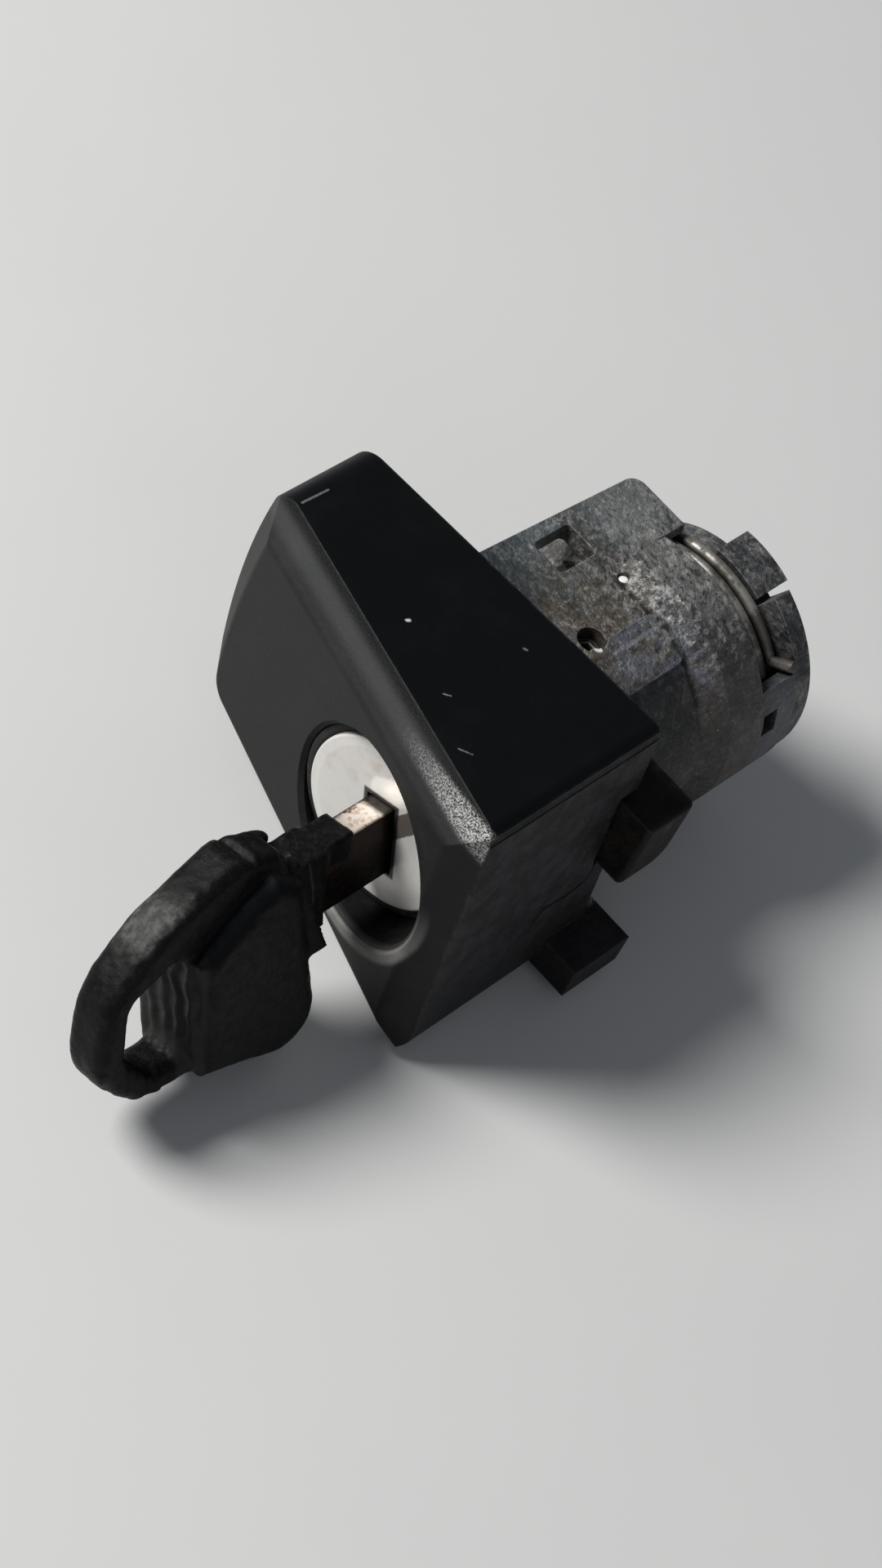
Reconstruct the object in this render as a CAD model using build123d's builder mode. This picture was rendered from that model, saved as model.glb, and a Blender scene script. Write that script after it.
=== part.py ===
from build123d import *
from math import cos, hypot, radians, sin, tan
import os

os.makedirs("parts", exist_ok=True)

# Driving dimensions, in millimetres and degrees.
# The lock axis is Y. The seat plane, where the cover cap's rim meets the door handle, is Y = 0.
# The key goes in from -Y, the tail points to +Y, and +Z is up.

# Cover cap
cap_face_ahead = 18.7        # front plane on the lock axis, ahead of the seat plane
cap_face_slope = 16.2        # the front falls away from the thick end to the thin end
cap_thick_end = 12.9         # from the lock axis to the end wall at mid height
cap_end_lean = 1.45          # the end wall leans by this much each way
cap_thin_end = 26.2          # from the lock axis to the top corner of the thin end
cap_thin_end_low = 25.0
cap_end_bulge = 1.5
cap_rim = 1.3                # how far the cap's outer wall laps over the carrier
cap_half_height_thick = 15.4
cap_half_height_thin = 13.1
cap_bevel_in = 3.2
cap_bevel_back = 2.6
cap_bevel_round = 1.1
cap_wall = 1.9
cap_front_wall = 2.4
cap_corner_radius = 3.0
cap_thin_low_corner = 6.0
cap_low_corner = 2.8
cap_top_corner = 1.3
cap_rib = 1.4
bush_notch_depth = 2.2
bush_notch_gap = 0.5
hole_radius = 9.5
hole_chamfer = 0.5

# Box lug at the foot of the end wall
lug_inner = 12.6             # from the lock axis, inside the end wall
lug_outer = 18.1
lug_low = -14.3
lug_height = 3.8
lug_front = -3.9
lug_back = 3.3
lug_wall = 0.9
lug_hollow = 4.2

# Housing
barrel_radius = 11.9
barrel_front = -12.2
nose_radius = 9.25
nose_front = -15.1
collar_radius = 13.4
collar_front = 12.4
collar_taper = 2.4
collar_end = 23.8
collar_bore = 12.0
collar_floor = 17.6
gap_start_angle = 33.0
gap_end_angle = 112.0
low_edge_end_angle = 205.0
gap_front = 19.2
peep_angle = 17.0
peep_station = 20.4
peep_length = 1.9
peep_width = 2.4
screw_hole_station = 5.4
screw_hole_angle = 90.0
screw_hole_radius = 1.35
screw_hole_depth = 2.6
pad_angle = 74.0
pad_width = 5.2
pad_rise = 0.35
pad_front = 3.0
pad_rear = 12.8

# Fin with its window
fin_drop = 0.05              # the fin lies this far under the top of the barrel
fin_thickness = 2.0
fin_reach_front = 12.4
fin_reach_rear = 11.3
fin_rear = 22.7
fin_front = 1.7
fin_corner = 1.4
fin_step = 4.4               # the collar is cut down to the fin beyond this distance
fin_window_front = 8.2
fin_window_length = 4.6
fin_window_inner = 6.7
fin_window_width = 3.8

# Hardened pin pressed into the barrel
pin_radius = 0.55
pin_angle = 106.0
pin_station = 13.0
pin_depth = 2.2
pin_rise = 0.3

# Bush beside the barrel, for the fixing screw
bush_reach = 4.2             # how far it stands out of the barrel
bush_front = -0.6
bush_rear = 5.2
bush_low = -1.4
bush_high = 6.9
bush_round = 2.4

# Plug
plug_radius = 7.5
running_gap = 0.05
flange_radius = 8.15
flange_front = -15.5
flange_rear = -13.6
plug_rear = 17.2
shaft_radius = 4.6
shaft_end = 25.2
clip_groove_station = 22.9
clip_groove_width = 0.9
clip_groove_depth = 0.7
socket_radius = 2.2
socket_depth = 8.0
drive_flat = 3.7             # half the width across the flats of the shaft

# Face disc
disc_radius = 8.5
disc_thickness = 0.5
skirt_length = 1.7
disc_edge_round = 0.25

# Keyway and key, all turned by the same angle about the lock axis
slot_tilt = 18.0
blade_thickness = 2.8
blade_top = 2.4              # from the lock axis to the spine
blade_bottom = -4.6          # from the lock axis to the lower edge
blade_gap = 0.25
blade_tip = 9.4
blade_tip_bevel = 2.2
keyway_end = 10.6
groove_width = 2.4
groove_depth = 0.75
groove_mid = -1.1
cut_step = 0.3
cut_levels = [1, -1, 2, 0, -2, 1, -1, 2]

# Wafers
wafer_count = 8
wafer_setback = 2.6          # from the flange to the first wafer
wafer_pitch = 2.3
wafer_thickness = 1.0
wafer_half_height = 6.6
wafer_half_width = 3.0
wafer_gap = 0.06
wafer_window_gap = 0.3
wafer_nose_height = 0.7
wafer_nose_bite = 0.5
lock_groove_depth = 1.3

# Shutter behind the slot
shutter_width = 2.5
shutter_height = 6.2
shutter_thickness = 0.5
shutter_station = -12.4
shutter_pin_radius = 0.35

# Seal
seal_inner = 8.6
seal_outer = 9.4
seal_front = -15.62
seal_chamfer = 0.15

# Driver, spring and clip
driver_hub_radius = 9.7
driver_front = 17.9
driver_boss_radius = 7.0
driver_relief_radius = 10.2
driver_relief_start = 64.0
driver_relief_end = 214.0
driver_ring_gap = 0.2        # how far the ring's edge lies inside the collar's
driver_ring_front = 24.1
driver_rim_chamfer = 0.3
driver_ring_rear = 26.4
driver_cup_radius = 8.6
driver_cup_floor = 22.9
drive_lug_start = 67.0
drive_lug_end = 97.0
drive_lug_inner = 9.4
drive_lug_outer = 11.2
drive_lug_rear = 28.3
spring_wire = 1.1
spring_radius = 10.95
spring_turns = 3.0
spring_setback = 0.9         # from the collar's floor to the middle of the first turn
spring_leg_angle = 37.0
spring_leg_reach = 13.9
spring_pitch = 1.5
spring_sides = 8
clip_outer = 6.6
clip_mouth = 5.0
clip_relief = 0.9

# Key head. Each corner of its outline is given as the distance out from the face disc and the
# height across the blade.
head_collar = (12.0, 3.2)
head_shoulder = (14.0, 6.6)
head_crest = (18.5, 8.2)
head_bow = (27.5, 5.2)
head_far_top = (33.2, 0.2)
head_far_low = (34.0, -7.6)
head_heel = (29.6, -12.8)
head_toe = (13.0, -13.6)
head_notch = (12.4, -3.7)
head_rounds = (1.0, 3.0, 12.0, 7.0, 5.0, 5.0, 3.0)
body_top = (15.6, 5.6)
body_neck = (12.8, 3.4)
body_side = (11.2, -5.6)
body_toe = (9.3, -17.2)
body_heel = (24.4, -12.0)
body_toe_round = 4.0
body_heel_round = 1.2
tab_corner = (9.4, -5.8)
tab_reach = 3.8
dent = (17.2, 8.0)
dent_size = 1.5
head_thickness = 8.4
head_edge_round = 1.7
loop_thickness = 4.6
loop_edge_round = 1.2
loop_bar = 3.7
opening_top = (24.4, 1.9)
opening_far_top = (30.2, -0.8)
opening_far_low = (30.8, -6.5)
opening_heel = (27.8, -10.2)
opening_low = (24.4, -10.2)
opening_round = 1.5
neck_start = 5.0
neck_side_start = 8.3
neck_top = 3.3
neck_bottom = -5.2
neck_thickness = 4.4
tongue_thickness = 3.5
tongue_low = 0.6
tang_end = 21.0
tang_half_height = 2.2

face_station = flange_front - disc_thickness


def across(station):
    """The plane square to the lock axis at a station. It faces the key, with local y up."""
    return Plane.XZ.offset(-station)


def across_tilted(station):
    """The same plane turned with the keyway, so that local y runs along the blade's height."""
    turned = radians(slot_tilt)
    return Plane(origin=(0, station, 0), x_dir=(cos(turned), 0, sin(turned)), z_dir=(0, -1, 0))


def beside_key(distance=0.0):
    """The plane of the key's flat side: local x runs to the tail and local y up the blade."""
    turned = radians(slot_tilt)
    side = Vector(cos(turned), 0, sin(turned))
    return Plane(origin=side * distance, x_dir=(0, 1, 0), z_dir=side)


def keyway_level(height):
    """A plane square to the blade's height: local x to the side of the keyway, local y to the tail."""
    turned = radians(slot_tilt)
    up = Vector(-sin(turned), 0, cos(turned))
    return Plane(origin=up * height, x_dir=(cos(turned), 0, sin(turned)), z_dir=up)


def radial_plane(angle, distance, station):
    """A plane square to a radius of the barrel, with local x along the lock axis."""
    out = Vector(cos(radians(angle)), 0, sin(radians(angle)))
    return Plane(origin=out * distance + Vector(0, station, 0), x_dir=(0, 1, 0), z_dir=out)


def on_circle(radius, angle):
    """A point on a circle round the lock axis, for sketches that face the key."""
    return (radius * cos(radians(angle)), radius * sin(radians(angle)))


def sector(inner, outer, start, end):
    """A piece of a ring between two angles, for sketches that face the key."""
    middle = (start + end) / 2
    with BuildSketch(Plane.XY) as piece:
        with BuildLine():
            Line(on_circle(inner, start), on_circle(outer, start))
            ThreePointArc(on_circle(outer, start), on_circle(outer, middle), on_circle(outer, end))
            Line(on_circle(outer, end), on_circle(inner, end))
            ThreePointArc(on_circle(inner, end), on_circle(inner, middle), on_circle(inner, start))
        make_face()
    return piece.sketch_local


# Cover cap: a wedge-shaped moulded shell, open at the back, with a round hole for the lock's face.
slope = radians(cap_face_slope)
front_plane = Plane(
    origin=(0, -cap_face_ahead, 0),
    x_dir=(cos(slope), -sin(slope), 0),
    z_dir=(-sin(slope), -cos(slope), 0),
)
front_axis = Axis(front_plane.origin, front_plane.z_dir)
cap_reach = cap_face_ahead + (cap_thick_end + cap_end_lean) * tan(slope) + cap_bevel_back

with BuildSketch(Plane.XZ) as cap_outline:
    with BuildLine():
        top_thick = (cap_thick_end - cap_end_lean, cap_half_height_thick)
        low_thick = (cap_thick_end + cap_end_lean, -cap_half_height_thick)
        low_thin = (-cap_thin_end_low, -cap_half_height_thin)
        top_thin = (-cap_thin_end, cap_half_height_thin)
        Polyline(top_thin, top_thick, low_thick, low_thin)
        end_middle = (-(cap_thin_end + cap_thin_end_low) / 2 - cap_end_bulge, 0)
        ThreePointArc(low_thin, end_middle, top_thin)
    make_face()
    fillet(cap_outline.vertices().sort_by_distance(Vector(*low_thin))[0], cap_thin_low_corner)

with BuildPart() as cap_cavity:
    with BuildSketch(across(cap_rim)):
        add(cap_outline.sketch)
        offset(amount=-cap_wall, kind=Kind.INTERSECTION)
    extrude(amount=cap_reach + cap_rim)
    split(bisect_by=front_plane.offset(-cap_front_wall), keep=Keep.BOTTOM)
    with BuildSketch(Plane.XZ):
        Circle(barrel_radius + cap_wall)
        Rectangle(3 * cap_thin_end, cap_rib)
        with Locations((-(barrel_radius + cap_thin_end) / 2, 0)):
            Rectangle(cap_rib, 3 * cap_half_height_thick)
    extrude(amount=cap_reach, mode=Mode.SUBTRACT)


def on_front_lip(edge):
    """True for an edge of the hole that lies in the sloping front."""
    depth = -front_plane.to_local_coords(edge @ 0.5).Z
    return depth < cap_bevel_round and hypot((edge @ 0.5).X, (edge @ 0.5).Z) > hole_radius - 0.1


with BuildPart() as cover_cap:
    with BuildSketch(across(cap_rim)):
        add(cap_outline.sketch)
    extrude(amount=cap_reach + cap_rim)
    split(bisect_by=front_plane, keep=Keep.BOTTOM)
    cap_front = cover_cap.faces().sort_by(front_axis)[-1]
    chamfer(cap_front.edges(), length=cap_bevel_in, length2=cap_bevel_back, reference=cap_front)
    for corner, size in (
        (top_thin, cap_corner_radius),
        (low_thick, cap_low_corner),
        (top_thick, cap_top_corner),
    ):
        uprights = cover_cap.edges().filter_by(Axis.Y)
        fillet(uprights.sort_by_distance(Vector(corner[0], 0, corner[1]))[0], radius=size)
    crest = cover_cap.faces().sort_by(front_axis)[-1].edges()
    fillet(crest, radius=cap_bevel_round)
    add(cap_cavity.part, mode=Mode.SUBTRACT)
    with BuildSketch(across(0)):
        Circle(hole_radius)
    extrude(amount=2 * cap_reach, mode=Mode.SUBTRACT)
    lip = cover_cap.edges(Select.LAST).filter_by(on_front_lip)
    chamfer(lip, length=hole_chamfer)
    with BuildSketch(across(cap_rim)):
        Circle(barrel_radius)
    extrude(amount=cap_rim - barrel_front, mode=Mode.SUBTRACT)
    # Notch in the end wall for the bush
    with BuildSketch(across(cap_rim)):
        with Locations((barrel_radius / 2, (bush_low + bush_high) / 2)):
            Rectangle(
                2 * cap_thick_end,
                bush_high - bush_low + 2 * bush_notch_gap,
                align=(Align.MIN, Align.CENTER),
            )
    extrude(amount=bush_notch_depth, mode=Mode.SUBTRACT)
    # The box lug stands out of the foot of the end wall and runs back past the rim.
    with BuildSketch(across(lug_back)):
        with Locations((lug_inner, lug_low)):
            Rectangle(lug_outer - lug_inner, lug_height, align=(Align.MIN, Align.MIN))
    extrude(amount=lug_back - lug_front)
    lug_middle_place = ((cap_thick_end + cap_end_lean + lug_outer) / 2, lug_low + lug_height / 2)
    lug_hollow_width = lug_outer - cap_thick_end - cap_end_lean - 2 * lug_wall
    with BuildSketch(across(lug_back)):
        with Locations(lug_middle_place):
            Rectangle(lug_hollow_width, lug_height - 2 * lug_wall)
    extrude(amount=lug_hollow, mode=Mode.SUBTRACT)
cover_cap.part.label = "cover_cap"
export_step(cover_cap.part, "parts/cover_cap.step")

# Housing: a die-cast barrel with a narrow nose, a wider collar round the return spring, and a flat fin.
fin_top = barrel_radius - fin_drop

with BuildPart() as housing:
    with BuildSketch(Plane.XY):
        with BuildLine():
            Polyline(
                (0, nose_front),
                (nose_radius, nose_front),
                (nose_radius, barrel_front),
                (barrel_radius, barrel_front),
                (barrel_radius, collar_front),
                (collar_radius, collar_front + collar_taper),
                (collar_radius, collar_end),
                (0, collar_end),
                close=True,
            )
        make_face()
    revolve(axis=Axis.Y)
    # Flat fin, tangent to the top of the barrel, with its outer rear corner rounded
    with BuildSketch(Plane.XY.offset(fin_top - fin_thickness)) as fin_outline:
        with BuildLine():
            Polyline(
                (0, fin_front),
                (-fin_reach_front, fin_front),
                (-fin_reach_rear, fin_rear),
                (0, fin_rear),
                close=True,
            )
        make_face()
        fillet(fin_outline.vertices().sort_by(Axis.X)[:2].sort_by(Axis.Y)[-1], fin_corner)
    extrude(amount=fin_thickness)
    # The collar is cut down to the level of the fin.
    with BuildSketch(Plane.XY.offset(fin_top)):
        with Locations((-fin_step, collar_front)):
            Rectangle(collar_radius, collar_end, align=(Align.MAX, Align.MIN))
    extrude(amount=collar_radius, mode=Mode.SUBTRACT)
    # Shallow pad along the barrel
    with BuildSketch(radial_plane(pad_angle, barrel_radius - 1, (pad_front + pad_rear) / 2)):
        RectangleRounded(pad_rear - pad_front, pad_width, pad_width / 3)
    extrude(amount=1 + pad_rise)
    # Bore for the plug, pocket for the flange and disc, and the chamber for the spring
    with BuildSketch(Plane.XY):
        with BuildLine():
            Polyline(
                (0, nose_front),
                (disc_radius + running_gap, nose_front),
                (disc_radius + running_gap, flange_rear + running_gap),
                (plug_radius + running_gap, flange_rear + running_gap),
                (plug_radius + running_gap, collar_floor),
                (collar_bore, collar_floor),
                (collar_bore, collar_end),
                (0, collar_end),
                close=True,
            )
        make_face()
    revolve(axis=Axis.Y, mode=Mode.SUBTRACT)
    # Locking grooves, above and below the keyway
    with BuildSketch(across_tilted(keyway_end)):
        Rectangle(2 * (wafer_half_width + 2 * running_gap), 2 * (plug_radius + lock_groove_depth))
    extrude(amount=keyway_end - barrel_front, mode=Mode.SUBTRACT)
    # Window in the fin, the screw hole, the gap of the collar and the small window beside it
    window_place = (
        -fin_window_inner - fin_window_width / 2,
        fin_window_front + fin_window_length / 2,
    )
    with BuildSketch(Plane.XY.offset(fin_top - 2 * fin_thickness)):
        with Locations(window_place):
            RectangleRounded(fin_window_width, fin_window_length, 0.5)
    extrude(amount=3 * fin_thickness, mode=Mode.SUBTRACT)
    screw_hole_floor = barrel_radius - screw_hole_depth
    with BuildSketch(radial_plane(screw_hole_angle, screw_hole_floor, screw_hole_station)):
        Circle(screw_hole_radius)
    extrude(amount=2 * screw_hole_depth, mode=Mode.SUBTRACT)
    with BuildSketch(radial_plane(pin_angle, barrel_radius - pin_depth, pin_station)):
        Circle(pin_radius)
    extrude(amount=collar_radius, mode=Mode.SUBTRACT)
    with BuildSketch(across(collar_end)):
        add(sector(collar_bore - 1, 2 * collar_radius, gap_start_angle, gap_end_angle))
    extrude(amount=collar_end - gap_front, mode=Mode.SUBTRACT)
    # The collar's rear edge is lower behind the fin.
    with BuildSketch(across(collar_end)):
        add(sector(collar_bore - 1, 2 * collar_radius, gap_end_angle, low_edge_end_angle))
    extrude(amount=collar_end - fin_rear, mode=Mode.SUBTRACT)
    with BuildSketch(radial_plane(peep_angle, collar_bore - 1, peep_station)):
        Rectangle(peep_length, peep_width)
    extrude(amount=collar_radius, mode=Mode.SUBTRACT)
housing.part.label = "housing"
export_step(housing.part, "parts/housing.step")

# Lock pin: a hardened pin, pressed into the barrel from above.
with BuildPart() as lock_pin:
    with BuildSketch(radial_plane(pin_angle, barrel_radius - pin_depth, pin_station)):
        Circle(pin_radius)
    extrude(amount=pin_depth + pin_rise)
    above_pin = radial_plane(pin_angle, collar_radius, pin_station).origin
    pin_rims = lock_pin.edges().filter_by(GeomType.CIRCLE)
    chamfer(pin_rims.sort_by_distance(above_pin)[0], length=pin_rise / 2)
lock_pin.part.label = "lock_pin"
export_step(lock_pin.part, "parts/lock_pin.step")

# Bush for the fixing screw: a moulded block that sits against the barrel behind the cap.
with BuildPart() as screw_bush:
    with BuildSketch(Plane.YZ) as bush_outline:
        with BuildLine():
            Polyline(
                (bush_front, bush_low),
                (bush_rear, bush_low),
                (bush_rear, bush_high),
                (bush_front, bush_high),
                close=True,
            )
        make_face()
        fillet(bush_outline.vertices().group_by(Axis.Y)[0].sort_by(Axis.X)[-1], bush_round)
    extrude(amount=barrel_radius + bush_reach)
    outer = screw_bush.faces().sort_by(Axis.X)[-1]
    fillet(outer.edges(), radius=bush_round / 4)
    with BuildSketch(across(bush_rear)):
        Circle(barrel_radius)
    extrude(amount=2 * bush_rear, mode=Mode.SUBTRACT)
screw_bush.part.label = "screw_bush"
export_step(screw_bush.part, "parts/screw_bush.step")

# Dust seal: a rubber ring that lies in the hole of the cap, on the end of the nose.
with BuildPart() as dust_seal:
    with BuildSketch(Plane.XY):
        with Locations(((seal_inner + seal_outer) / 2, (seal_front + nose_front) / 2)):
            Rectangle(seal_outer - seal_inner, nose_front - seal_front)
    revolve(axis=Axis.Y)
    chamfer(dust_seal.edges().group_by(Axis.Y)[0], length=seal_chamfer)
dust_seal.part.label = "dust_seal"
export_step(dust_seal.part, "parts/dust_seal.step")

# Plug: the turning core, with the keyway, one slot for each wafer, and a shaft for the driver.
keyway_middle = (blade_top + blade_bottom) / 2
keyway_height = blade_top - blade_bottom + 2 * blade_gap
keyway_width = blade_thickness + 2 * blade_gap
wafer_first = flange_rear + wafer_setback
wafer_stations = [wafer_first + n * wafer_pitch for n in range(wafer_count)]

with BuildPart() as plug:
    with BuildSketch(Plane.XY):
        with BuildLine():
            Polyline(
                (0, flange_front),
                (flange_radius, flange_front),
                (flange_radius, flange_rear),
                (plug_radius, flange_rear),
                (plug_radius, plug_rear),
                (shaft_radius, plug_rear),
                (shaft_radius, shaft_end),
                (0, shaft_end),
                close=True,
            )
        make_face()
    revolve(axis=Axis.Y)
    # Keyway
    with BuildSketch(across_tilted(keyway_end)):
        with Locations((0, keyway_middle)):
            Rectangle(keyway_width, keyway_height)
    extrude(amount=keyway_end - flange_front, mode=Mode.SUBTRACT)
    # Wafer slots, open at the top and the bottom
    for station in wafer_stations:
        with BuildSketch(across_tilted(station + wafer_gap)):
            Rectangle(2 * (wafer_half_width + wafer_gap), 3 * plug_radius)
        extrude(amount=wafer_thickness + 2 * wafer_gap, mode=Mode.SUBTRACT)
    # Chamber for the shutter
    with BuildSketch(across_tilted(shutter_station)):
        with Locations((keyway_width / 2, 0)):
            Rectangle(
                shutter_width, shutter_height + 2 * blade_gap, align=(Align.MIN, Align.CENTER)
            )
    extrude(amount=shutter_station - flange_front, mode=Mode.SUBTRACT)
    # Flats that carry the driver, the groove of the clip, and the socket for the connecting rod
    with BuildSketch(across_tilted(shaft_end)):
        Circle(shaft_radius + 1)
        Rectangle(2 * drive_flat, 4 * shaft_radius, mode=Mode.SUBTRACT)
    extrude(amount=shaft_end - plug_rear, mode=Mode.SUBTRACT)
    with BuildSketch(across(clip_groove_station + clip_groove_width)):
        Circle(shaft_radius + 1)
        Circle(shaft_radius - clip_groove_depth, mode=Mode.SUBTRACT)
    extrude(amount=clip_groove_width, mode=Mode.SUBTRACT)
    with BuildSketch(across(shaft_end)):
        Circle(socket_radius)
    extrude(amount=socket_depth, mode=Mode.SUBTRACT)
plug.part.label = "plug"
export_step(plug.part, "parts/plug.step")

# Face disc: pressed stainless sheet, crimped round the flange of the plug.
with BuildPart() as face_disc:
    with BuildSketch(across(face_station + disc_thickness + skirt_length)):
        Circle(disc_radius)
    extrude(amount=disc_thickness + skirt_length)
    fillet(face_disc.edges().group_by(Axis.Y)[0], radius=disc_edge_round)
    with BuildSketch(across(face_station + disc_thickness + skirt_length)):
        Circle(flange_radius)
    extrude(amount=skirt_length, mode=Mode.SUBTRACT)
    with BuildSketch(across_tilted(flange_front)):
        with Locations((0, keyway_middle)):
            Rectangle(keyway_width, keyway_height)
    extrude(amount=disc_thickness, mode=Mode.SUBTRACT)
face_disc.part.label = "face_disc"
export_step(face_disc.part, "parts/face_disc.step")

# Shutter flap with its pin: pushed aside by the blade, it lies along the keyway.
flap_side = keyway_width / 2 + 2 * wafer_gap
pin_side = flap_side + shutter_thickness + shutter_pin_radius
pin_station = shutter_station - 2 * shutter_pin_radius

with BuildPart() as shutter_flap:
    with BuildSketch(across_tilted(shutter_station)):
        with Locations((flap_side, 0)):
            Rectangle(shutter_thickness, shutter_height, align=(Align.MIN, Align.CENTER))
    extrude(amount=shutter_station - flange_front - wafer_gap)
shutter_flap.part.label = "shutter_flap"
export_step(shutter_flap.part, "parts/shutter_flap.step")

with BuildPart() as shutter_pin:
    with BuildSketch(keyway_level(-shutter_height / 2)):
        with Locations((pin_side, pin_station)):
            Circle(shutter_pin_radius)
    extrude(amount=shutter_height)
shutter_pin.part.label = "shutter_pin"
export_step(shutter_pin.part, "parts/shutter_pin.step")

# Wafers: stamped plates with a window for the blade and a nose that rides in the blade's groove.
window_width = blade_thickness + 2 * wafer_window_gap
window_height = blade_top - blade_bottom + 2 * wafer_window_gap
for number, station in enumerate(wafer_stations, start=1):
    side = 1 if number % 2 else -1
    with BuildPart() as wafer:
        with BuildSketch(across_tilted(station)):
            Rectangle(2 * wafer_half_width, 2 * wafer_half_height)
            with Locations((0, keyway_middle)):
                Rectangle(window_width, window_height, mode=Mode.SUBTRACT)
            with Locations((side * (blade_thickness / 2 - wafer_nose_bite), groove_mid)):
                Rectangle(
                    wafer_nose_bite + 2 * wafer_window_gap,
                    wafer_nose_height,
                    align=(Align.MIN if side > 0 else Align.MAX, Align.CENTER),
                )
        extrude(amount=wafer_thickness)
    wafer.part.label = f"wafer_{number}"
    export_step(wafer.part, f"parts/wafer_{number}.step")

# Driver: a turned ring with a hub inside the spring, a cup for the clip, and a raised lug.
driver_ring_radius = collar_radius - driver_ring_gap

with BuildPart() as driver:
    with BuildSketch(Plane.XY):
        with BuildLine():
            Polyline(
                (0, plug_rear),
                (driver_boss_radius, plug_rear),
                (driver_boss_radius, driver_front),
                (driver_hub_radius, driver_front),
                (driver_hub_radius, driver_ring_front),
                (driver_ring_radius, driver_ring_front),
                (driver_ring_radius, driver_ring_rear),
                (driver_cup_radius, driver_ring_rear),
                (driver_cup_radius, driver_cup_floor),
                (0, driver_cup_floor),
                close=True,
            )
        make_face()
    revolve(axis=Axis.Y)
    rim_edges = driver.edges().filter_by(GeomType.CIRCLE).group_by(Axis.Y)[-1]
    chamfer(rim_edges, length=driver_rim_chamfer)
    # The ring is cut back to a smaller radius on one side, and the raised lug stands there.
    with BuildSketch(across(driver_ring_rear)):
        add(sector(driver_relief_radius, collar_radius, driver_relief_start, driver_relief_end))
    extrude(amount=driver_ring_rear - driver_ring_front, mode=Mode.SUBTRACT)
    with BuildSketch(across(drive_lug_rear)):
        add(sector(drive_lug_inner, drive_lug_outer, drive_lug_start, drive_lug_end))
    extrude(amount=drive_lug_rear - driver_ring_front)
    # Hole with flats for the plug's shaft
    with BuildSketch(across_tilted(driver_cup_floor)):
        Circle(shaft_radius + running_gap)
        Rectangle(2 * (drive_flat + running_gap), 4 * shaft_radius, mode=Mode.INTERSECT)
    extrude(amount=driver_cup_floor - plug_rear, mode=Mode.SUBTRACT)
driver.part.label = "driver"
export_step(driver.part, "parts/driver.step")

# Retaining clip: a flat spring ring with an open mouth, snapped into the groove of the shaft.
with BuildPart() as retaining_clip:
    with BuildSketch(across(clip_groove_station + clip_groove_width - running_gap)):
        Circle(clip_outer)
        Circle(shaft_radius - clip_groove_depth, mode=Mode.SUBTRACT)
        with Locations((0, -clip_outer)):
            Rectangle(clip_mouth, 2 * clip_outer, mode=Mode.SUBTRACT)
        with PolarLocations(shaft_radius - clip_groove_depth, 2, start_angle=30, angular_range=120):
            Circle(clip_relief, mode=Mode.SUBTRACT)
    extrude(amount=clip_groove_width - 2 * running_gap)
retaining_clip.part.label = "retaining_clip"
export_step(retaining_clip.part, "parts/retaining_clip.step")

# Return spring: a torsion spring round the driver's hub. One leg hooks over the end of the gap.
spring_front = collar_floor + spring_setback
spring_rise = (spring_turns + (90 - spring_leg_angle) / 360) * spring_pitch
with BuildPart() as return_spring:
    with BuildLine() as coil:
        Helix(
            pitch=spring_pitch,
            height=spring_rise,
            radius=spring_radius,
            center=(0, spring_front, 0),
            direction=(0, 1, 0),
        )
    with BuildSketch(Plane(origin=coil.line @ 0, z_dir=coil.line % 0)):
        RegularPolygon(spring_wire / 2, spring_sides)
    sweep(path=coil.line)
    leg_foot = spring_radius - spring_wire / 2
    with BuildSketch(radial_plane(spring_leg_angle, leg_foot, spring_front + spring_rise)):
        RegularPolygon(spring_wire / 2, spring_sides)
    extrude(amount=spring_leg_reach - leg_foot)
return_spring.part.label = "return_spring"
export_step(return_spring.part, "parts/return_spring.step")

# Key blade: a flat nickel-plated blade with a wavy groove in each side and a tang inside the head.
blade_middle = (blade_top + blade_bottom) / 2
tang_front = face_station - neck_side_start - 2 * blade_tip_bevel
with BuildPart() as key_blade:
    with BuildSketch(beside_key()):
        with BuildLine():
            Polyline(
                (blade_tip, blade_middle),
                (blade_tip - blade_tip_bevel / 2, blade_middle + blade_tip_bevel / 2),
                (blade_tip - blade_tip_bevel, blade_top),
                (tang_front, blade_top),
                (tang_front, blade_middle + tang_half_height),
                (face_station - tang_end, blade_middle + tang_half_height),
                (face_station - tang_end, blade_middle - tang_half_height),
                (tang_front, blade_middle - tang_half_height),
                (tang_front, blade_bottom),
                (blade_tip - blade_tip_bevel, blade_bottom),
                (blade_tip - blade_tip_bevel / 2, blade_middle - blade_tip_bevel / 2),
                close=True,
            )
        make_face()
    extrude(amount=blade_thickness / 2, both=True)
    # The groove steps up and down from one wafer to the next and stays open at the tip.
    stations = [wafer_first - wafer_thickness * 2] + [y - wafer_thickness / 2 for y in wafer_stations]
    stations = stations + [blade_tip + 1]
    levels = [groove_mid] + [groove_mid + cut_step * level for level in cut_levels] + [groove_mid]
    upper = [(y, w + groove_width / 2) for y, w in zip(stations, levels)]
    lower = [(y, w - groove_width / 2) for y, w in zip(stations, levels)]
    for hand in (1, -1):
        with BuildSketch(beside_key(hand * (blade_thickness / 2 - groove_depth))):
            with BuildLine():
                Polyline(*upper, *reversed(lower), close=True)
            make_face()
        extrude(amount=hand * blade_thickness, mode=Mode.SUBTRACT)
key_blade.part.label = "key_blade"
export_step(key_blade.part, "parts/key_blade.step")

# Key head: a moulded grip with a thick body, a thinner loop and a neck over the blade.
def head_point(corner):
    """A corner of the head's outline in the plane of the key's flat side."""
    return (face_station - corner[0], corner[1])


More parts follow.
